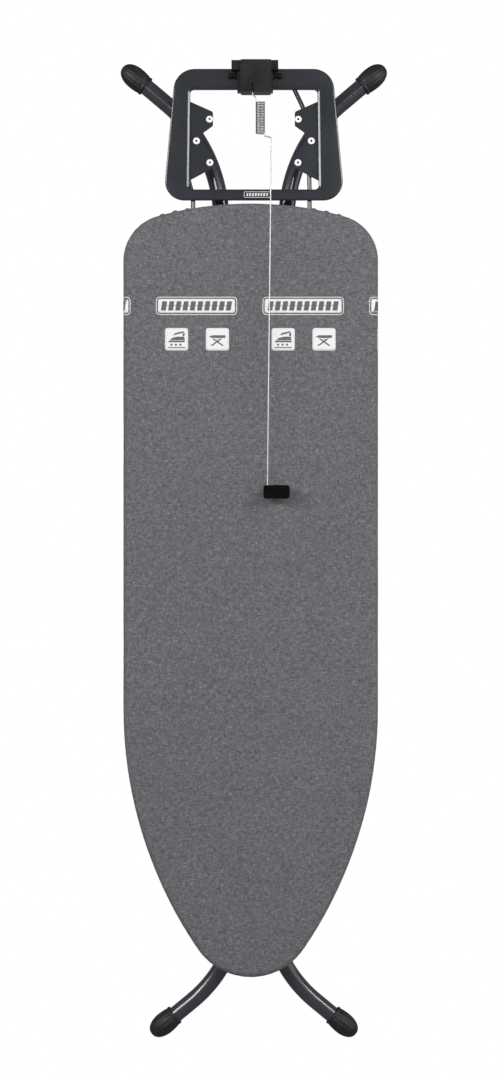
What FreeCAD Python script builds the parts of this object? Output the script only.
"""Folding ironing board with an iron rest and a sprung cable holder, folded flat.

Millimetres. The ironing face looks along +Z, +Y runs from the nose to the iron rest
and +X is to the right of somebody who looks down on the face with the rest away from
them. The folded board lies on its four rubber feet: Z = 0 is under the feet, and the
origin is in the middle of its length and width.
"""
import FreeCAD
import Part

import math
import os
import re
from types import SimpleNamespace

import Sketcher
from FreeCAD import Placement, Rotation, Vector

DRIVING = [
    # the board: outline of the cover, and heights of its layers
    ("board_middle", -5.0, "middle of the board, which sits a little to the left of its frame"),
    ("half_width", 199.5, "half the width over the cover"),
    ("square_end", 544.3, "middle of the square end"),
    ("end_radius", 540.0, "slow curve of the square end"),
    ("corner_radius", 72.0, "corners of the square end"),
    ("taper_start", -248.0, "where the sides begin to run in"),
    ("taper_radius", 665.0, "curve of the tapering sides"),
    ("nose_radius", 100.0, "nose"),
    ("under_side", 51.0, "underside of the board body"),
    ("body_thick", 24.0, "board body"),
    ("pad_thick", 5.0, "felt pad"),
    ("cloth_thick", 1.5, "cover cloth with its backing"),
    ("body_inset", 2.0, "board body inside the cover outline"),
    ("lip_width", 26.0, "hem drawn in under the board"),
    ("rim_width", 8.0, "solid rim of the ribbed body"),
    ("rib_pitch", 110.0, "spacing of the cross ribs"),
    ("boss_long", 46.0, "solid bosses of the body, along the board"),
    ("boss_wide", 20.0, "bosses over the bearings"),
    ("hinge_boss", 34.0, "bosses over the hinge brackets, across"),
    ("rib_width", 6.0, "cross ribs"),
    ("skin_thick", 3.0, "closed top of the ribbed body"),
    ("lever_line", 330.0, "lever shaft, which a rib stands on"),
    # what is screwed to it
    ("screw_depth", 12.0, "pilot holes in the board body"),
    ("screw_radius", 2.0, "screws under the board"),
    ("head_radius", 4.0, "heads of these screws"),
    ("head_thick", 2.5, "heads of these screws"),
    ("hinge_ear", 40.0, "ears of the hinge brackets from the middle"),
    ("hinge_screw", 53.0, "screws of the hinge brackets from the middle"),
    ("hinge_screw_gap", 9.0, "those screws from the hinge line"),
    ("hinge_foot", 2.5, "sheet of the hinge brackets"),
    ("hinge_foot_wide", 23.5, "foot of a hinge bracket across"),
    ("hinge_foot_long", 34.0, "foot of a hinge bracket along the board"),
    ("hinge_span", 92.0, "length of the hinge shaft"),
    ("inner_bearing", 12.0, "bearings beside the latch bar"),
    ("outer_bearing", 135.0, "outer bearing of the lever shaft"),
    ("bearing_screw_gap", 14.0, "screws of a bearing from its shaft"),
    ("bearing_foot", 5.0, "flange of a bearing"),
    ("bearing_foot_long", 38.0, "flange of a bearing along the board"),
    ("bearing_wide", 8.0, "bearing across"),
    ("bearing_long", 16.0, "block of a bearing along the board"),
    ("bearing_below", 7.0, "block of a bearing below its shaft"),
    # the scissor legs
    ("tube_radius", 13.0, "leg tubes"),
    ("tube_wall", 1.0, "wall of the leg tubes"),
    ("leg_height", 17.0, "axis of the leg tubes above the floor"),
    ("shaft_height", 41.0, "axis of all shafts under the board"),
    ("shaft_radius", 5.0, "hinge shaft and sliding shaft"),
    ("hinge_line", 486.0, "hinge shaft; the sliding shaft is as far the other way"),
    ("inner_spread", 24.0, "inner leg tubes from the middle"),
    ("inner_top", 500.0, "upper end of the inner tubes"),
    ("inner_bend", 560.0, "where the inner tubes begin to splay"),
    ("inner_bend_radius", 201.0, "splay bend of the inner tubes"),
    ("inner_splay", 50.5, "splay of the inner feet, degrees"),
    ("inner_run", 35.5, "straight inner tube beyond its bend, to the rubber"),
    ("outer_spread", 52.0, "outer leg tubes from the middle"),
    ("outer_top", 505.0, "upper end of the outer tubes"),
    ("outer_bend", 525.0, "where the outer tubes begin to splay"),
    ("outer_bend_radius", 240.0, "splay bend of the outer tubes"),
    ("outer_splay", 49.8, "splay of the outer feet, degrees"),
    ("outer_run", 44.4, "straight outer tube beyond its bend, to the rubber"),
    ("foot_radius", 17.5, "rubber foot"),
    ("foot_length", 48.5, "rubber foot"),
    ("foot_socket", 22.0, "depth of the tube in its foot"),
    ("foot_dome", 13.0, "rounded tip of the foot"),
    ("foot_lip", 1.5, "rounded rim at the foot's open end"),
    ("plug_deep", 10.0, "stem of a tube plug"),
    ("plug_lid", 2.0, "lid of a tube plug"),
    ("brace_radius", 6.0, "cross braces"),
    ("top_brace", 440.0, "brace at the upper end of the inner leg"),
    ("inner_brace", 548.0, "brace at the feet of the inner leg, towards the nose"),
    ("outer_brace", 513.0, "brace at the feet of the outer leg"),
    ("ear_thick", 3.0, "plate of the ears"),
    ("ear_radius", 8.0, "round end of the ears"),
    ("saddle_wide", 20.0, "saddle of an ear across its tube"),
    ("saddle_long", 28.0, "saddle of an ear along its tube"),
    ("saddle_thick", 6.0, "saddle of an ear"),
    ("bolt_radius", 4.0, "crossing bolt"),
    ("bush_radius", 6.0, "bushes of the crossing bolt"),
    ("washer_thick", 2.0, "washers between the legs"),
    ("washer_radius", 11.0, "washers between the legs"),
    ("hexagon_radius", 7.5, "bolt head and nut across their corners, halved"),
    ("hexagon_thick", 5.0, "bolt head and nut"),
    ("thread_over", 6.0, "bolt beyond its grip, for the nut"),
    ("opening_angle", 46.0, "highest setting of the inner legs, degrees"),
    ("lowest_setting", 33.5, "lowest setting of the inner legs, degrees"),
    ("setting_step", 2.5, "between two settings, degrees"),
    # rails and glides
    ("rail_middle", 91.0, "middle of each rail"),
    ("rail_wide", 18.0, "rail section across"),
    ("rail_high", 20.0, "rail section down"),
    ("rail_wall", 1.6, "rail sheet"),
    ("rail_near", 120.0, "rail end towards the crossing"),
    ("rail_far", 516.0, "rail end towards the nose"),
    ("rail_tab", 18.0, "screw tab on each rail end"),
    ("glide_wide", 14.5, "plastic glide across"),
    ("glide_long", 30.0, "plastic glide along the rail"),
    ("glide_high", 16.0, "plastic glide"),
    # height latch
    ("crank_radius", 20.0, "throw of the latch crank and link"),
    ("crank_drop", 28.0, "crank below the level when released, degrees"),
    ("link_line", 545.0, "latch link near the nose"),
    ("latch_thick", 3.0, "latch bar plate"),
    ("lever_radius", 4.0, "lever shaft"),
    ("pin_radius", 3.0, "crank pin and link pin"),
    ("tooth_depth", 8.3, "notches of the latch bar"),
    ("tooth_rise", 3.0, "tooth tips above the shaft axis when latched"),
    ("crank_thick", 3.0, "flat arms of the crank and the link"),
    ("crank_middle", 5.0, "those arms beside the latch bar"),
    ("crank_root", 6.0, "round end of those arms on their shaft"),
    ("crank_tip", 5.0, "round end of those arms on their pin"),
    ("pin_head", 4.5, "head of the crank pin and the link pin"),
    ("latch_high", 16.0, "notched part of the latch bar"),
    ("stay_high", 8.0, "plain part of the latch bar"),
    ("eye_radius", 7.0, "eyes of the latch bar"),
    ("lever_start", 6.5, "inner end of the lever shaft"),
    ("lever_end", 168.0, "outer end of the lever shaft"),
    ("link_end", 20.0, "outer end of the link's own shaft"),
    ("paddle_left", 141.0, "hand lever, inner edge"),
    ("paddle_right", 175.0, "hand lever, outer edge"),
    ("paddle_tip", 252.0, "hand lever, free end"),
    ("paddle_root", 334.0, "hand lever, end beyond the shaft"),
    ("paddle_thick", 5.0, "hand lever plate"),
    ("paddle_hub", 7.0, "hub of the hand lever"),
    # iron rest
    ("rest_near", 549.3, "edge of the rest beside the board"),
    ("rest_far", 754.6, "far edge of the rest"),
    ("rest_half_near", 142.3, "half width of the rest beside the board"),
    ("rest_half_far", 123.0, "half width of the rest at its far edge"),
    ("rest_corner_near", 30.0, "rest corners beside the board"),
    ("rest_corner_far", 33.0, "far corners of the rest"),
    ("window_near", 565.9, "window of the rest beside the board"),
    ("window_far", 722.6, "far edge of the window"),
    ("window_half_near", 101.6, "half width of the window beside the board"),
    ("window_half_far", 99.6, "half width of the window at its far edge"),
    ("window_corner", 6.0, "window corners"),
    ("rest_top", 78.0, "upper face of the rest"),
    ("rest_deep", 10.0, "depth of its turned down edges"),
    ("rest_sheet", 1.5, "sheet of the rest and its brackets"),
    ("bracket_drop", 5.5, "brackets below the face of the rest"),
    ("pad_radius", 5.5, "silicone stud"),
    ("stud_high", 5.0, "silicone stud"),
    ("stud_hole", 1.8, "hole in the stud"),
    ("stud_stem", 2.5, "stem of the stud in its bracket"),
    ("hoop_radius", 3.5, "round bar that carries the rest"),
    ("hoop_height", 64.5, "axis of that bar"),
    ("hoop_middle", -4.0, "middle of its two ends"),
    ("hoop_spread", 91.5, "its ends from their middle"),
    ("hoop_depth", 480.0, "its ends inside the board"),
    # cable holder
    ("holder_middle", 3.0, "middle of the holder housing"),
    ("holder_wide", 48.0, "holder housing"),
    ("holder_near", 713.0, "holder housing"),
    ("holder_far", 763.5, "holder housing"),
    ("holder_top", 110.0, "top of the holder housing"),
    ("flank_middle", 2.0, "middle of the clamp under the housing"),
    ("flank_wide", 56.0, "clamp beside the housing"),
    ("flank_near", 721.0, "edge of the clamp towards the board"),
    ("flank_high", 12.0, "upper half of the clamp"),
    ("ears_middle", 1.5, "middle of the ears behind the rest"),
    ("ears_wide", 73.0, "ears behind the rest"),
    ("ears_near", 749.5, "edge of the ears, over the rest"),
    ("ears_far", 764.5, "far side of the ears"),
    ("ears_high", 20.0, "ears above the face of the rest"),
    ("jaw_low", 54.0, "underside of the lower jaw"),
    ("jaw_base", 6.0, "plate of the lower jaw"),
    ("jaw_wall", 2.4, "wall of the lower jaw in the window"),
    ("jaw_back", 8.0, "wall of the lower jaw behind the rest"),
    ("thumb_line", 742.5, "thumb screws of the clamp"),
    ("thumb_level", 84.0, "axis of the thumb screws"),
    ("thumb_shank", 2.5, "thumb screw shank"),
    ("thumb_collar", 5.0, "thumb screw collar"),
    ("thumb_head", 4.2, "thumb screw head"),
    ("wire_height", 103.0, "axis of the holder wire"),
    ("wire_radius", 1.0, "holder wire"),
    ("wire_exit", -2.0, "where the wire leaves the housing"),
    ("swivel_line", 722.0, "axis of the wire's swivel barrel"),
    ("swivel_radius", 5.0, "swivel barrel"),
    ("swivel_wide", 20.0, "swivel barrel"),
    ("trunnion_radius", 2.0, "ends of the swivel barrel"),
    ("coil_middle", 10.0, "axis of the coil spring"),
    ("coil_radius", 6.5, "coil spring to the middle of its wire"),
    ("coil_near", 649.0, "end of the coil towards the cord clip"),
    ("coil_far", 699.0, "end of the coil towards the housing"),
    ("clip_line", 21.0, "wire in the cord clip"),
    ("clip_left", 14.7, "cord clip"),
    ("clip_right", 55.7, "cord clip"),
    ("clip_near", 81.0, "cord clip"),
    ("clip_far", 102.0, "cord clip"),
    ("clip_thick", 13.0, "cord clip"),
    ("cord_bore", 4.0, "cord hole of the clip"),
    ("cord_line", 42.7, "axis of the cord hole"),
    ("cord_mouth", 5.0, "slot that a cord is pressed in through, from below"),
]

doc = FreeCAD.newDocument("ironing_board")
sheet = doc.addObject("Spreadsheet::Sheet", "Sizes")
for row, (alias, value, note) in enumerate(DRIVING, start=1):
    sheet.set(f"A{row}", alias)
    sheet.set(f"B{row}", str(value))
    sheet.setAlias(f"B{row}", alias)
    sheet.set(f"C{row}", note)
doc.recompute()
s = SimpleNamespace(**{alias: float(sheet.get(alias)) for alias, value, note in DRIVING})

SUB_PARTS = []
ALONG = {
    "X": Rotation(Vector(0, 1, 0), 90),
    "Y": Rotation(Vector(1, 0, 0), -90),
    "Z": Rotation(),
}
UP = Vector(0, 0, 1)
SIDES = (("left", -1), ("right", 1))


# ---- building blocks ---------------------------------------------------------------
def linked(text):
    """An expression with the sheet's name put before each of its aliases."""
    return re.sub(r"[a-z_]{4,}", lambda found: "Sizes." + found.group(), str(text))


def bind_place(thing, at):
    for letter, text in zip("xyz", at):
        thing.setExpression("Placement.Base." + letter, linked(text))


def box(name, middle, size):
    """A block, given by its middle and its size along X, Y and Z."""
    block = doc.addObject("Part::Box", name)
    for side, text in zip(("Length", "Width", "Height"), size):
        block.setExpression(side, linked(text))
    bind_place(block, [f"({m}) - ({w}) / 2" for m, w in zip(middle, size)])
    return block


def rod(name, middle, radius, length, along):
    """A cylinder, given by its middle."""
    bar = doc.addObject("Part::Cylinder", name)
    bar.setExpression("Radius", linked(radius))
    bar.setExpression("Height", linked(length))
    bar.Placement = Placement(Vector(), ALONG[along])
    bind_place(bar, [
        f"({m}) - ({length}) / 2" if letter == along else m for letter, m in zip("XYZ", middle)
    ])
    return bar


def fuse(name, *pieces):
    whole = doc.addObject("Part::MultiFuse", name)
    whole.Shapes = list(pieces)
    return whole


def cut(name, base, *tools):
    rest = doc.addObject("Part::Cut", name)
    rest.Base = base
    rest.Tool = tools[0] if len(tools) == 1 else fuse(name + "_tools", *tools)
    return rest


def common(name, *pieces):
    shared = doc.addObject("Part::MultiCommon", name)
    shared.Shapes = list(pieces)
    return shared


def group(name, pieces):
    whole = doc.addObject("Part::Compound", name)
    whole.Links = list(pieces)
    return whole


def keep(thing, label):
    thing.Label = label
    SUB_PARTS.append(thing)
    return thing


def arc(x, y, radius, start, end):
    return Part.ArcOfCircle(Part.Circle(Vector(x, y, 0), UP, radius), start, end)


def line(start, end):
    return Part.LineSegment(Vector(*start, 0), Vector(*end, 0))


def rounded(corners, closed=True):
    """Lines through (x, y, radius) corners, with a tangent arc at each corner."""
    points = [Vector(x, y, 0) for x, y, radius in corners]
    edges = []
    tails = []
    count = len(corners)
    for i, (x, y, radius) in enumerate(corners):
        if radius == 0:
            tails.append((points[i], points[i]))
            continue
        back = (points[i - 1] - points[i]).normalize()
        ahead = (points[(i + 1) % count] - points[i]).normalize()
        half = back.getAngle(ahead) / 2
        reach = radius / math.tan(half)
        middle = points[i] + (back + ahead).normalize() * (radius / math.sin(half))
        near = points[i] + back * reach
        far = points[i] + ahead * reach
        top = middle + (points[i] - middle).normalize() * radius
        edges.append(Part.Arc(near, top, far))
        tails.append((near, far))
    for i in range(count if closed else count - 1):
        start = tails[i][1]
        end = tails[(i + 1) % count][0]
        if start.distanceToPoint(end) > 1e-6:
            edges.append(Part.LineSegment(start, end))
    return edges


def sketch_in(body, name, edges, plane="XY_Plane"):
    sketch = body.newObject("Sketcher::SketchObject", name)
    plane_object = [f for f in body.Origin.OriginFeatures if f.Role == plane][0]
    sketch.AttachmentSupport = [(plane_object, "")]
    sketch.MapMode = "FlatFace"
    for edge in edges:
        sketch.addGeometry(edge, False)
    return sketch


def plate(name, outlines, bottom, thickness):
    """A padded body: its outline, and any holes, drawn in the sheet's own sizes."""
    body = doc.addObject("PartDesign::Body", name)
    sketch = sketch_in(body, name + "_outline", [edge for loop in outlines for edge in loop])
    pad = body.newObject("PartDesign::Pad", name + "_pad")
    pad.Profile = sketch
    pad.setExpression("Length", linked(thickness))
    bind_place(body, ("0", "0", bottom))
    return body


def circle_sketch(body, name, radii, x, z, offset):
    """Circles about one point of a plane that stands across Y, each bound to a cell."""
    sketch = sketch_in(body, name, [], "XZ_Plane")
    sketch.AttachmentOffset = Placement(Vector(0, 0, -offset), Rotation())
    for i, radius in enumerate(radii):
        sketch.addGeometry(Part.Circle(Vector(x, z, 0), UP, 1.0 + i), False)
        sketch.addConstraint(Sketcher.Constraint("Radius", i, 1.0 + i))
        sketch.addConstraint(Sketcher.Constraint("DistanceX", -1, 1, i, 3, x))
        sketch.addConstraint(Sketcher.Constraint("DistanceY", -1, 1, i, 3, z))
        sketch.setExpression(f"Constraints[{3 * i}]", linked(radius))
    return sketch


def pipe(name, path, radii, height, start):
    """A tube or bar swept along flat edges that begin at start and first run along Y."""
    body = doc.addObject("PartDesign::Body", name)
    spine = sketch_in(body, name + "_path", path)
    profile = circle_sketch(body, name + "_section", radii, start[0], 0, start[1])
    sweep = body.newObject("PartDesign::AdditivePipe", name + "_sweep")
    sweep.Profile = profile
    sweep.Spine = (spine, [f"Edge{i + 1}" for i in range(len(path))])
    bind_place(body, ("0", "0", height))
    return body


def ear(name, x, y, bore_radius):
    """A plate on a saddle over one leg tube, bored for a shaft."""
    saddle = box(name + "_saddle", (x, y, "leg_height + tube_radius"),
                 ("saddle_wide", "saddle_long", "saddle_thick"))
    plate_box = box(
        name + "_plate",
        (x, y, "(shaft_height + leg_height + tube_radius) / 2"),
        ("ear_thick", "2 * ear_radius", "shaft_height - leg_height - tube_radius"),
    )
    tip = rod(name + "_tip", (x, y, "shaft_height"), "ear_radius", "ear_thick", "X")
    tube = rod(name + "_seat", (x, y, "leg_height"), "tube_radius", "60", "Y")
    bore = rod(name + "_bore", (x, y, "shaft_height"), bore_radius, "20", "X")
    return cut(name, fuse(name + "_blank", saddle, plate_box, tip), tube, bore)


# ---- board, pad and cover ----------------------------------------------------------
def board_outline(inset):
    """Arcs and sides of the board, all at one inset from the edge of the cover."""
    middle = s.board_middle
    end_centre = s.square_end - s.end_radius
    corner_x = s.half_width - s.corner_radius
    corner_y = end_centre + math.sqrt((s.end_radius - s.corner_radius) ** 2 - corner_x ** 2)
    taper_x = s.taper_radius - s.half_width
    nose_y = s.taper_start - math.sqrt((s.taper_radius - s.nose_radius) ** 2 - taper_x ** 2)
    corner_turn = math.atan2(corner_y - end_centre, corner_x)
    nose_turn = math.atan2(s.taper_start - nose_y, taper_x)
    side = s.half_width - inset
    full = math.pi
    taper = s.taper_radius - inset
    corner = s.corner_radius - inset
    return [
        arc(middle, end_centre, s.end_radius - inset, corner_turn, full - corner_turn),
        arc(middle - corner_x, corner_y, corner, full - corner_turn, full),
        line((middle - side, corner_y), (middle - side, s.taper_start)),
        arc(middle + taper_x, s.taper_start, taper, full, full + nose_turn),
        arc(middle, nose_y, s.nose_radius - inset, full + nose_turn, 2 * full - nose_turn),
        arc(middle - taper_x, s.taper_start, taper, -nose_turn, 0),
        line((middle + side, s.taper_start), (middle + side, corner_y)),
        arc(middle + corner_x, corner_y, corner, 0, corner_turn),
    ]


def hoop_holes(name):
    return [
        rod(
            f"{name}_{word}",
            (f"hoop_middle + {side} * hoop_spread", "hoop_depth + 40", "hoop_height"),
            "hoop_radius", "80", "Y",
        )
        for word, side in SIDES
    ]


def screw_places():
    """(x, y, level) of every screw head under the board."""
    places = []
    for word, side in SIDES:
        for shift in (-s.hinge_screw_gap, s.hinge_screw_gap):
            places.append((side * s.hinge_screw, s.hinge_line + shift, s.under_side - s.hinge_foot))
        for end in (-s.rail_near + s.rail_tab / 2, -s.rail_far - s.rail_tab / 2):
            places.append((side * s.rail_middle, end, s.under_side - s.rail_wall))
    for x, y in BEARINGS.values():
        for shift in (-s.bearing_screw_gap, s.bearing_screw_gap):
            places.append((x, y + shift, s.under_side - s.bearing_foot))
    return places


BEARINGS = {
    "lever_bearing_inner": (s.inner_bearing, s.lever_line),
    "lever_bearing_outer": (s.outer_bearing, s.lever_line),
    "link_bearing": (s.inner_bearing, -s.link_line),
}
# pockets of the ribbed body: near and far side from the middle, and the first rib bay;
# the third column stops short of the rails, which need solid plastic above them
RIB_COLUMNS = ((3.0, 34.0, -9), (40.0, 76.0, -9), (81.0, 101.0, -3), (106.0, 192.0, -9))


def screw_holes(name):
    return [
        rod(f"{name}_{i}", (x, y, "under_side + screw_depth / 2"), "screw_radius",
            "screw_depth", "Z")
        for i, (x, y, level) in enumerate(screw_places())
    ]


def bosses():
    """Solid blocks left in the ribbed body where something is screwed to it."""
    depth = "body_thick - skin_thick"
    middle_z = "under_side + (body_thick - skin_thick) / 2"
    blocks = [
        box(f"boss_{label}", (x, y, middle_z), ("boss_wide", "boss_long", depth))
        for label, (x, y) in BEARINGS.items()
    ]
    for word, side in SIDES:
        blocks.append(box(f"boss_hinge_{word}", (f"{side} * hinge_screw", "hinge_line", middle_z),
                          ("hinge_boss", "boss_long", depth)))
    return blocks


def make_board():
    depth = "body_thick - skin_thick"
    blank = plate("body_blank", [board_outline(s.body_inset)], "under_side", "body_thick")
    inside = plate("pocket_limit", [board_outline(s.body_inset + s.rim_width)],
                   "under_side", depth)
    middle_z = "under_side + (body_thick - skin_thick) / 2"
    cells = []
    for column, (near, far, first) in enumerate(RIB_COLUMNS):
        for word, side in SIDES:
            for step in range(first, 2):
                cells.append(box(
                    f"cell_{column}_{word}_{step - first}",
                    (side * (near + far) / 2, f"lever_line + ({step} + 0.5) * rib_pitch", middle_z),
                    (far - near, "rib_pitch - rib_width", depth),
                ))
    pockets = cut("pockets", common("ribbed", fuse("cells", *cells), inside), *bosses())
    keep(cut("board", blank, pockets, *hoop_holes("body_hole"), *screw_holes("pilot")), "board_body")
    pad = plate(
        "felt", [board_outline(s.body_inset)], "under_side + body_thick", "pad_thick",
    )
    keep(pad, "ironing_pad")


def make_cover():
    gap = 0.3
    outer = plate(
        "cover_outer", [board_outline(0)],
        "under_side - cloth_thick", "body_thick + pad_thick + 2 * cloth_thick",
    )
    inner = plate(
        "cover_inner", [board_outline(s.body_inset - gap)],
        "under_side", "body_thick + pad_thick",
    )
    mouth = plate(
        "cover_mouth", [board_outline(s.lip_width)],
        "under_side - 2 * cloth_thick", "3 * cloth_thick",
    )
    keep(cut("cover_cut", outer, inner, mouth, *hoop_holes("cover_hole")), "cover")


def make_screws():
    screws = []
    for i, (x, y, level) in enumerate(screw_places()):
        shank_length = s.under_side + s.screw_depth - level
        head = rod(f"screw_head_{i}", (x, y, f"{level} - head_thick / 2"), "head_radius",
                   "head_thick", "Z")
        shank = rod(f"screw_shank_{i}", (x, y, level + shank_length / 2), "screw_radius",
                    shank_length, "Z")
        screws.append(fuse(f"screw_{i}", head, shank))
    keep(group("screws", screws), "mounting_screws")


# ---- rails, hinge brackets and bearings under the board ------------------------------
def make_rails():
    length = "rail_far - rail_near"
    middle_y = "-(rail_far + rail_near) / 2"
    level = "under_side - rail_high / 2"
    for word, side in SIDES:
        name = f"rail_{word}_"
        channel = box(name + "channel", (f"{side} * rail_middle", middle_y, level),
                      ("rail_wide", length, "rail_high"))
        hollow = box(
            name + "hollow",
            (f"{side} * (rail_middle - rail_wall)", middle_y, level),
            ("rail_wide", f"{length} - 2 * rail_wall", "rail_high - 2 * rail_wall"),
        )
        tabs = box(
            name + "tabs",
            (f"{side} * rail_middle", middle_y, "under_side - rail_wall / 2"),
            ("rail_wide", f"{length} + 2 * rail_tab", "rail_wall"),
        )
        holes = [
            rod(f"{name}hole_{i}", (f"{side} * rail_middle", y, "under_side"), "screw_radius",
                10, "Z")
            for i, y in enumerate(("-rail_near + rail_tab / 2", "-rail_far - rail_tab / 2"))
        ]
        shape = fuse(name + "shape", cut(name + "open", channel, hollow), tabs)
        keep(cut(name + "cut", shape, *holes), f"rail_{word}")


def make_hinge_brackets():
    for word, side in SIDES:
        name = f"hinge_{word}_"
        ear_x = f"{side} * hinge_ear"
        foot = box(
            name + "foot",
            (f"{side} * (hinge_ear - ear_thick / 2 + hinge_foot_wide / 2)", "hinge_line",
             "under_side - hinge_foot / 2"),
            ("hinge_foot_wide", "hinge_foot_long", "hinge_foot"),
        )
        web = box(name + "web", (ear_x, "hinge_line", "(under_side + shaft_height) / 2"),
                  ("ear_thick", "2 * ear_radius", "under_side - shaft_height"))
        tip = rod(name + "tip", (ear_x, "hinge_line", "shaft_height"), "ear_radius",
                  "ear_thick", "X")
        bore = rod(name + "bore", (ear_x, "hinge_line", "shaft_height"), "shaft_radius", "20", "X")
        holes = [
            rod(f"{name}hole_{i}",
                (f"{side} * hinge_screw", f"hinge_line + {way} * hinge_screw_gap", "under_side"),
                "screw_radius", 10, "Z")
            for i, way in enumerate((-1, 1))
        ]
        keep(cut(name + "cut", fuse(name + "blank", foot, web, tip), bore, *holes),
             f"hinge_bracket_{word}")
    keep(rod("hinge_rod", ("0", "hinge_line", "shaft_height"), "shaft_radius",
             "hinge_span", "X"), "hinge_shaft")


def make_bearings():
    for label, (x, y) in BEARINGS.items():
        block = box(label + "_block", (x, y, "(under_side + shaft_height - bearing_below) / 2"),
                    ("bearing_wide", "bearing_long", "under_side - shaft_height + bearing_below"))
        foot = box(label + "_foot", (x, y, "under_side - bearing_foot / 2"),
                   ("bearing_wide", "bearing_foot_long", "bearing_foot"))
        bore = rod(label + "_bore", (x, y, "shaft_height"), "lever_radius + 0.15", 20, "X")
        holes = [
            rod(f"{label}_hole_{i}", (x, f"{y} + {way} * bearing_screw_gap", "under_side"),
                "screw_radius", 20, "Z")
            for i, way in enumerate((-1, 1))
        ]
        keep(cut(label + "_cut", fuse(label + "_blank", block, foot), bore, *holes), label)


# ---- iron rest -----------------------------------------------------------------------
def rest_outline(inset):
    near = s.rest_near + inset
    far = s.rest_far - inset
    half_near = s.rest_half_near - inset
    half_far = s.rest_half_far - inset
    round_near = s.rest_corner_near - inset
    round_far = s.rest_corner_far - inset
    return rounded([
        (-half_near, near, round_near), (half_near, near, round_near),
        (half_far, far, round_far), (-half_far, far, round_far),
    ])


def window_outline(inset):
    near = s.window_near - inset
    far = s.window_far + inset
    half_near = s.window_half_near + inset
    half_far = s.window_half_far + inset
    corner = s.window_corner + inset
    return rounded([
        (-half_near, near, corner), (half_near, near, corner),
        (half_far, far, corner), (-half_far, far, corner),
    ])


def window_edge(y):
    """Half width of the window at y, where a bracket meets its turned down edge."""
    share = (s.window_far - y) / (s.window_far - s.window_near)
    return s.window_half_far + share * (s.window_half_near - s.window_half_far)


STUDS = ((69.5, 676.0), (90.0, 642.0), (69.0, 608.0))


def make_rest():
    shell = plate("rest_shell", [rest_outline(0), window_outline(0)],
                  "rest_top - rest_deep", "rest_deep")
    tray = plate("rest_tray", [rest_outline(s.rest_sheet), window_outline(s.rest_sheet)],
                 "rest_top - rest_deep - rest_sheet", "rest_deep")
    keep(cut("rest_cut", shell, tray), "iron_rest_frame")
    studs = []
    seat = s.rest_top - s.bracket_drop
    for word, side in SIDES:
        zigzag = rounded([
            (side * window_edge(704.0), 704.0, 0), (side * 64.1, 688.0, 4), (side * 64.1, 666.0, 3),
            (side * 79.5, 655.0, 6), (side * 81.5, 645.0, 5), (side * 62.6, 612.0, 6),
            (side * 62.6, 601.0, 6), (side * window_edge(580.0), 580.0, 0),
        ])
        blank = plate(f"bracket_{word}", [zigzag], "rest_top - bracket_drop - rest_sheet",
                      "rest_sheet")
        holes = []
        for i, (x, y) in enumerate(STUDS):
            name = f"stud_{word}_{i}"
            x = side * x
            holes.append(rod(name + "_hole", (x, y, seat), "stud_stem", 20, "Z"))
            disc = rod(name + "_disc", (x, y, f"{seat} + stud_high / 2"), "pad_radius",
                       "stud_high", "Z")
            stem = rod(name + "_stem", (x, y, seat - 1.5), "stud_stem", 3, "Z")
            hole = rod(name + "_bore", (x, y, seat), "stud_hole", 20, "Z")
            studs.append(cut(name, fuse(name + "_blank", disc, stem), hole))
        keep(cut(f"bracket_{word}_cut", blank, *holes), f"rest_bracket_{word}")
    keep(group("studs", studs), "rest_pads")


def make_hoop():
    """The bar leaves the board twice; its two shoulders under the rest differ."""
    left = s.hoop_middle - s.hoop_spread
    right = s.hoop_middle + s.hoop_spread
    corners = [
        (left, s.hoop_depth, 0),
        (left, 556.0, 60), (-110.5, 612.0, 60), (-110.5, 737.0, 34),
        (57.5, 737.0, 18), (78.5, 693.5, 60), (86.0, 640.0, 120),
        (right, 560.0, 200), (right, s.hoop_depth, 0),
    ]
    path = in_order(rounded(corners, closed=False), Vector(left, s.hoop_depth, 0))
    keep(pipe("hoop", path, ["hoop_radius"], "hoop_height", (left, s.hoop_depth)), "rest_hoop")


def in_order(edges, start):
    """Edges from start to the far end of the line that they make."""
    left = list(edges)
    path = []
    while left:
        for edge in left:
            ends = (edge.StartPoint, edge.EndPoint)
            hit = [i for i in (0, 1) if ends[i].distanceToPoint(start) < 1e-6]
            if hit:
                path.append(edge)
                left.remove(edge)
                start = ends[1 - hit[0]]
                break
        else:
            raise ValueError("the line has a gap")
    return path


# ---- legs ----------------------------------------------------------------------------
def splay(spread, bend, radius, turn, run):
    """Where a tube that splays by turn degrees reaches its rubber foot."""
    turn = math.radians(turn)
    x = spread + radius * (1 - math.cos(turn)) + run * math.sin(turn)
    y = bend + radius * math.sin(turn) + run * math.cos(turn)
    return x, y


def leg_path(side, ahead, top, spread, bend, radius, turn, run):
    """A tube from its upper end at -top, through its splay bend, to inside its foot."""
    angle = math.radians(turn)
    reach = radius * math.tan(angle / 2)
    far_x, far_y = splay(spread, bend, radius, turn, run + s.foot_socket)
    corners = [
        (side * spread, -ahead * top, 0),
        (side * spread, ahead * (bend + reach), radius),
        (side * far_x, ahead * far_y, 0),
    ]
    start = Vector(side * spread, -ahead * top, 0)
    return in_order(rounded(corners, closed=False), start)


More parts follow.
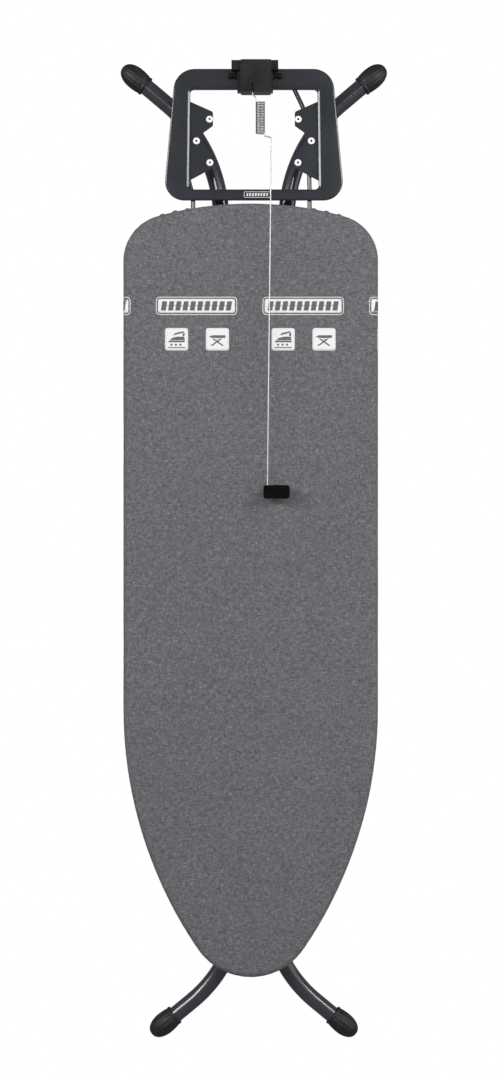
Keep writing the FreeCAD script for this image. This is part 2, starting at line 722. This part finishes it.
def foot(label, x, y, turn, ahead, side):
    """A rubber foot over the end of a tube, with a narrow flat sole."""
    body = doc.addObject("PartDesign::Body", label + "_round")
    length = s.foot_length
    radius = s.foot_radius
    edges = [
        line((s.foot_socket, 0), (s.foot_socket, s.tube_radius)),
        line((s.foot_socket, s.tube_radius), (0, s.tube_radius)),
        line((0, s.tube_radius), (0, radius - s.foot_lip)),
        line((0, radius - s.foot_lip), (s.foot_lip, radius)),
        line((s.foot_lip, radius), (length - s.foot_dome, radius)),
        Part.Arc(Vector(length - s.foot_dome, radius, 0),
                 Vector(length - 0.26 * s.foot_dome, 0.66 * radius, 0), Vector(length, 0, 0)),
        line((length, 0), (s.foot_socket, 0)),
    ]
    sketch = sketch_in(body, label + "_profile", edges)
    turned = body.newObject("PartDesign::Revolution", label + "_turned")
    turned.Profile = sketch
    turned.ReferenceAxis = (sketch, ["H_Axis"])
    turned.Angle = 360
    heading = ahead * (90 - turn) if side > 0 else 180 - ahead * (90 - turn)
    body.Placement = Placement(Vector(), Rotation(UP, heading))
    bind_place(body, (side * x, ahead * y, "leg_height"))
    sole = box(label + "_sole", (side * x, ahead * y, "-10"), (200, 200, 20))
    keep(cut(label + "_cut", body, sole), label)


def make_leg(word, ahead, top, spread, bend, radius, turn, run, pin_radius, ear_bore):
    """The two tubes, plugs, ears and feet of one leg frame; ahead is its feet's way."""
    plugs = []
    for hand, side in SIDES:
        name = f"{word}_tube_{hand}"
        path = leg_path(side, ahead, top, spread, bend, radius, turn, run)
        tube = pipe(name + "_pipe", path, ["tube_radius", "tube_radius - tube_wall"],
                    "leg_height", (side * spread, -ahead * top))
        hole = rod(name + "_hole", (side * spread, 0, "leg_height"), pin_radius, 60, "X")
        keep(cut(name + "_cut", tube, hole), name)
        stem = rod(name + "_stem", (side * spread, -ahead * (top - s.plug_deep / 2), "leg_height"),
                   "tube_radius - tube_wall", "plug_deep", "Y")
        lid = rod(name + "_lid", (side * spread, -ahead * (top + s.plug_lid / 2), "leg_height"),
                  "tube_radius", "plug_lid", "Y")
        plugs.append(fuse(name + "_plug", stem, lid))
        keep(ear(f"{word}_ear_{hand}_cut", side * spread, -ahead * s.hinge_line,
                 ear_bore), f"{word}_ear_{hand}")
        x, y = splay(spread, bend, radius, turn, run)
        foot(f"{word}_foot_{hand}", x, y, turn, ahead, side)
    keep(group(word + "_plugs", plugs), word + "_tube_plugs")


def brace(label, y, spread):
    keep(rod(label + "_bar", (0, y, "leg_height"), "brace_radius",
             f"2 * ({spread} - tube_radius)", "X"), label)


def make_crossing():
    bushes = []
    washers = []
    for word, side in SIDES:
        x = f"{side} * inner_spread"
        bush = rod(f"bush_{word}", (x, 0, "leg_height"), "bush_radius", "2 * tube_radius", "X")
        bore = rod(f"bush_bore_{word}", (x, 0, "leg_height"), "bolt_radius + 0.1", 60, "X")
        bushes.append(cut(f"bush_cut_{word}", bush, bore))
        x = f"{side} * (inner_spread + outer_spread) / 2"
        disc = rod(f"washer_{word}", (x, 0, "leg_height"), "washer_radius", "washer_thick",
                   "X")
        hole = rod(f"washer_hole_{word}", (x, 0, "leg_height"), "bolt_radius", 20, "X")
        washers.append(cut(f"washer_cut_{word}", disc, hole))
    keep(group("bushes", bushes), "pivot_bushes")
    keep(group("washers", washers), "pivot_washers")
    grip = "2 * (outer_spread + tube_radius)"
    shank = rod("bolt_shank", ("-thread_over / 2", 0, "leg_height"), "bolt_radius",
                f"{grip} + thread_over", "X")
    heads = {}
    for word, start in (("bolt_head", "outer_spread + tube_radius"),
                        ("nut_blank", "-outer_spread - tube_radius - hexagon_thick")):
        hexagon = doc.addObject("Part::Prism", word)
        hexagon.Polygon = 6
        hexagon.setExpression("Circumradius", linked("hexagon_radius"))
        hexagon.setExpression("Height", linked("hexagon_thick"))
        hexagon.Placement = Placement(Vector(), ALONG["X"])
        bind_place(hexagon, (start, 0, "leg_height"))
        heads[word] = hexagon
    keep(fuse("bolt", shank, heads["bolt_head"]), "pivot_bolt")
    thread = rod("nut_thread", ("-outer_spread - tube_radius", 0, "leg_height"),
                 "bolt_radius", 40, "X")
    keep(cut("nut", heads["nut_blank"], thread), "pivot_nut")


def make_slider():
    span = "2 * (rail_middle + rail_wide / 2 - rail_wall - 1.4)"
    keep(rod("slide_rod", (0, "-hinge_line", "shaft_height"), "shaft_radius", span, "X"),
         "slider_shaft")
    for word, side in SIDES:
        x = f"{side} * (rail_middle - rail_wall / 2 + 0.6)"
        block = box(f"glide_{word}_block", (x, "-hinge_line", "shaft_height"),
                    ("glide_wide", "glide_long", "glide_high"))
        bore = rod(f"glide_{word}_bore", (x, "-hinge_line", "shaft_height"),
                   "shaft_radius + 0.1", 40, "X")
        keep(cut(f"glide_{word}_cut", block, bore), f"glide_{word}")


# ---- height latch ----------------------------------------------------------------------
def slide(angle):
    """Where the sliding shaft is along the rails when the inner legs are at angle."""
    rise = s.shaft_height - s.leg_height
    angle = math.radians(angle)
    return s.hinge_line - 2 * (s.hinge_line * math.cos(angle) - rise * math.sin(angle))


def crank(name, y, pin_y):
    """A flat arm from a shaft on the shaft height down to the latch bar."""
    arm = doc.addObject("Part::Box", name + "_arm")
    arm.setExpression("Length", linked("crank_thick"))
    arm.setExpression("Width", linked("crank_radius"))
    arm.setExpression("Height", linked("2 * crank_tip"))
    tilt = Rotation(Vector(1, 0, 0), -s.crank_drop)
    side = s.crank_middle - s.crank_thick / 2
    arm.Placement = Placement(
        Vector(side, y, s.shaft_height) + tilt * Vector(0, 0, -s.crank_tip), tilt,
    )
    root = rod(name + "_root", ("crank_middle", y, "shaft_height"), "crank_root", "crank_thick",
               "X")
    tip = rod(name + "_tip", ("crank_middle", pin_y, PIN_HEIGHT), "crank_tip", "crank_thick", "X")
    return fuse(name + "_fused", arm, root, tip)


PIN_AHEAD = s.crank_radius * math.cos(math.radians(s.crank_drop))
PIN_HEIGHT = s.shaft_height - s.crank_radius * math.sin(math.radians(s.crank_drop))
LATCH_RISE = s.shaft_height - PIN_HEIGHT
LATCH_SHIFT = s.crank_radius - PIN_AHEAD


def make_latch():
    pin_near = s.lever_line + PIN_AHEAD
    pin_far = -s.link_line + PIN_AHEAD
    shaft = rod("lever_rod", ("(lever_start + lever_end) / 2", "lever_line", "shaft_height"),
                "lever_radius", "lever_end - lever_start", "X")
    keep(fuse("lever", shaft, crank("lever_crank", s.lever_line, pin_near)), "lever_shaft")
    stub = rod("link_rod", ("(lever_start + link_end) / 2", "-link_line", "shaft_height"),
               "lever_radius", "link_end - lever_start", "X")
    keep(fuse("link", stub, crank("link_crank", -s.link_line, pin_far)), "latch_link")
    for label, y in (("crank_pin", pin_near), ("link_pin", pin_far)):
        stem = rod(label + "_stem", (0.25, y, PIN_HEIGHT), "pin_radius", 6.5, "X")
        head = rod(label + "_head", (-4, y, PIN_HEIGHT), "pin_head", 2, "X")
        keep(fuse(label + "_fused", stem, head), label)

    tip_height = s.shaft_height + s.tooth_rise - LATCH_RISE
    run_end = slide(s.opening_angle) + 15
    comb = box("latch_comb", (0, (run_end + pin_far) / 2, tip_height - s.latch_high / 2),
               ("latch_thick", run_end - pin_far, "latch_high"))
    stay = box("latch_stay", (0, (run_end + pin_near) / 2, PIN_HEIGHT),
               ("latch_thick", pin_near - run_end, "stay_high"))
    eyes = [
        rod(f"latch_eye_{i}", (0, y, PIN_HEIGHT), "eye_radius", "latch_thick", "X")
        for i, y in enumerate((pin_near, pin_far))
    ]
    pin_holes = [
        rod(f"latch_hole_{i}", (0, y, PIN_HEIGHT), "pin_radius + 0.1", 20, "X")
        for i, y in enumerate((pin_near, pin_far))
    ]
    steps = round((s.opening_angle - s.lowest_setting) / s.setting_step)
    settings = [0.0] + [s.lowest_setting + i * s.setting_step for i in range(steps + 1)]
    notch_radius = s.shaft_radius + 0.3
    floor = tip_height - s.tooth_depth
    notches = []
    for i, angle in enumerate(settings):
        y = slide(angle) - LATCH_SHIFT
        notches.append(rod(f"notch_{i}", (0, y, floor + notch_radius), notch_radius, 20, "X"))
        notches.append(box(f"notch_mouth_{i}", (0, y, floor + notch_radius + 10),
                           (20, 2 * notch_radius, 20)))
    keep(cut("latch", fuse("latch_blank", comb, stay, *eyes), *pin_holes, *notches), "latch_bar")


def make_paddle():
    middle = "(paddle_left + paddle_right) / 2"
    flat = plate("paddle_flat", [rounded([
        (s.paddle_left, s.paddle_tip, 8), (s.paddle_right, s.paddle_tip, 8),
        (s.paddle_right, s.paddle_root, 3), (s.paddle_left, s.paddle_root, 3),
    ])], "shaft_height - lever_radius", "paddle_thick")
    hub = rod("paddle_hub", (middle, "lever_line", "shaft_height"), "paddle_hub",
              "paddle_right - paddle_left", "X")
    bore = rod("paddle_bore", ("lever_end - 20", "lever_line", "shaft_height"), "lever_radius",
               40, "X")
    keep(cut("paddle", fuse("paddle_blank", flat, hub), bore), "lever_paddle")


# ---- cable holder ------------------------------------------------------------------------
def make_holder():
    """A housing with a clamp that grips the far bar of the rest from both faces."""
    left = s.holder_middle - s.holder_wide / 2
    right = s.holder_middle + s.holder_wide / 2
    housing = plate("housing_blank", [rounded([
        (left, s.holder_near, 3), (right, s.holder_near, 3),
        (right, s.holder_far, 2), (left, s.holder_far, 2),
    ])], "rest_top", "holder_top - rest_top")
    flanks = box(
        "housing_flanks",
        ("flank_middle", "(flank_near + ears_near) / 2", "rest_top + flank_high / 2"),
        ("flank_wide", "ears_near - flank_near", "flank_high"),
    )
    ears = box(
        "housing_ears",
        ("ears_middle", "(ears_near + ears_far) / 2", "rest_top + ears_high / 2"),
        ("ears_wide", "ears_far - ears_near", "ears_high"),
    )
    chamber = box(
        "housing_chamber", ("wire_exit", "swivel_line", "(rest_top + wire_height) / 2"),
        ("swivel_wide + 2", "2 * swivel_radius + 0.3", "wire_height - rest_top"),
    )
    vault = rod("housing_vault", ("wire_exit", "swivel_line", "wire_height"),
                "swivel_radius + 0.15", "swivel_wide + 2", "X")
    seat = rod("housing_seat", ("wire_exit", "swivel_line", "wire_height"),
               "trunnion_radius + 0.15", "swivel_wide + 8.4", "X")
    slot = box(
        "housing_slot", ("wire_exit", "(holder_near + swivel_line) / 2", "holder_top"),
        ("2 * wire_radius + 0.8", "swivel_line - holder_near + 8",
         "2 * (holder_top - wire_height + wire_radius + 1)"),
    )
    keep(cut("housing", fuse("housing_fused", housing, flanks, ears), chamber, vault, seat, slot),
         "holder_body")

    jaw_near = "(window_far - 0.4 - jaw_wall)"
    jaw_far = "(ears_far - 1)"
    base = box("jaw_plate", ("flank_middle", f"({jaw_near} + {jaw_far}) / 2",
                             "jaw_low + jaw_base / 2"),
               ("flank_wide", f"{jaw_far} - {jaw_near}", "jaw_base"))
    front = box("jaw_front", ("flank_middle", f"{jaw_near} + jaw_wall / 2",
                              "(jaw_low + rest_top) / 2"),
                ("flank_wide", "jaw_wall", "rest_top - jaw_low"))
    back = box("jaw_back_wall", ("ears_middle", "rest_far + 0.4 + jaw_back / 2",
                                 "(jaw_low + rest_top) / 2"),
               ("ears_wide", "jaw_back", "rest_top - jaw_low"))
    keep(fuse("jaw", base, front, back), "holder_jaw")

    screws = []
    for i, way in enumerate((-1, 1)):
        start = f"(flank_middle + {way} * flank_wide / 2)"
        shank = rod(f"thumb_shank_{i}", (f"{start} + {way} * 4", "thumb_line", "thumb_level"),
                    "thumb_shank", 8, "X")
        collar = rod(f"thumb_collar_{i}", (f"{start} + {way} * 1.5", "thumb_line", "thumb_level"),
                     "thumb_collar", 3, "X")
        head = rod(f"thumb_head_{i}", (f"{start} + {way} * 11", "thumb_line", "thumb_level"),
                   "thumb_head", 6, "X")
        screws.append(fuse(f"thumb_screw_{i}", shank, collar, head))
    keep(group("thumb_screws", screws), "holder_screws")

    barrel = rod("barrel", ("wire_exit", "swivel_line", "wire_height"), "swivel_radius",
                 "swivel_wide", "X")
    ends = rod("barrel_ends", ("wire_exit", "swivel_line", "wire_height"), "trunnion_radius",
               "swivel_wide + 8", "X")
    keep(fuse("swivel", barrel, ends), "swivel_barrel")


def wire(name, corners, label):
    start = Vector(corners[0][0], corners[0][1], 0)
    path = in_order(rounded(corners, closed=False), start)
    keep(pipe(name, path, ["wire_radius"], "wire_height", corners[0][:2]), label)


def make_wire():
    top_x = s.coil_middle - s.coil_radius
    wire("wire_top", [
        (s.wire_exit, s.swivel_line - s.swivel_radius, 0), (s.wire_exit, 709.5, 2.5),
        (top_x, 704.5, 2.5), (top_x, s.coil_far, 0),
    ], "holder_wire_base")
    low_x = s.coil_middle + s.coil_radius
    wire("wire_low", [
        (low_x, s.coil_near, 0), (low_x, 645.0, 2.5), (27.0, 643.0, 3), (26.9, 634.0, 8),
        (s.clip_line, s.clip_far + 4, 40), (s.clip_line, s.clip_far - 12, 0),
    ], "holder_wire")
    middle_y = "(coil_near + coil_far) / 2"
    coil = rod("coil", ("coil_middle", middle_y, "wire_height"), "coil_radius + wire_radius",
               "coil_far - coil_near", "Y")
    core = rod("coil_core", ("coil_middle", middle_y, "wire_height"), "coil_radius - wire_radius",
               "100", "Y")
    keep(cut("spring", coil, core), "holder_spring")

    body = plate("clip_blank", [rounded([
        (s.clip_left, s.clip_near, 3), (s.clip_right, s.clip_near, 5),
        (s.clip_right, s.clip_far, 5), (s.clip_left, s.clip_far, 3),
    ])], "wire_height - clip_thick / 2", "clip_thick")
    wire_hole = rod("clip_wire_hole", ("clip_line", "clip_far", "wire_height"),
                    "wire_radius + 0.1", "24.6", "Y")
    bore_y = "(clip_near + clip_far) / 2"
    bore = rod("clip_bore", ("cord_line", bore_y, "wire_height"), "cord_bore", 40, "Y")
    mouth = box("clip_mouth", ("cord_line", bore_y, "wire_height - clip_thick / 2"),
                ("cord_mouth", 40, "clip_thick"))
    keep(cut("clip", body, wire_hole, bore, mouth), "cord_clip")


make_board()
make_cover()
make_rails()
make_hinge_brackets()
make_bearings()
make_screws()
make_rest()
make_hoop()
make_holder()
make_leg("inner", -1, s.inner_top, s.inner_spread, s.inner_bend, s.inner_bend_radius,
         s.inner_splay, s.inner_run, "bush_radius", "shaft_radius + 0.15")
make_leg("outer", 1, s.outer_top, s.outer_spread, s.outer_bend, s.outer_bend_radius,
         s.outer_splay, s.outer_run, "bolt_radius", "shaft_radius")
brace("inner_top_brace", "top_brace", "inner_spread")
brace("inner_foot_brace", "-inner_brace", "inner_spread")
brace("outer_foot_brace", "outer_brace", "outer_spread")
make_crossing()
make_slider()
make_latch()
make_paddle()
make_wire()

doc.recompute()
for thing in doc.Objects:
    if "Invalid" in thing.State or "Error" in thing.State:
        raise RuntimeError(f"{thing.Name} did not compute: {thing.State}")
os.makedirs("parts", exist_ok=True)
for part in SUB_PARTS:
    if part.Shape.isNull() or not part.Shape.isValid() or not part.Shape.Solids:
        raise RuntimeError(f"{part.Label} has no valid solid")
    part.Shape.exportStep(f"parts/{part.Label}.step")
print(len(SUB_PARTS), "sub-parts written")
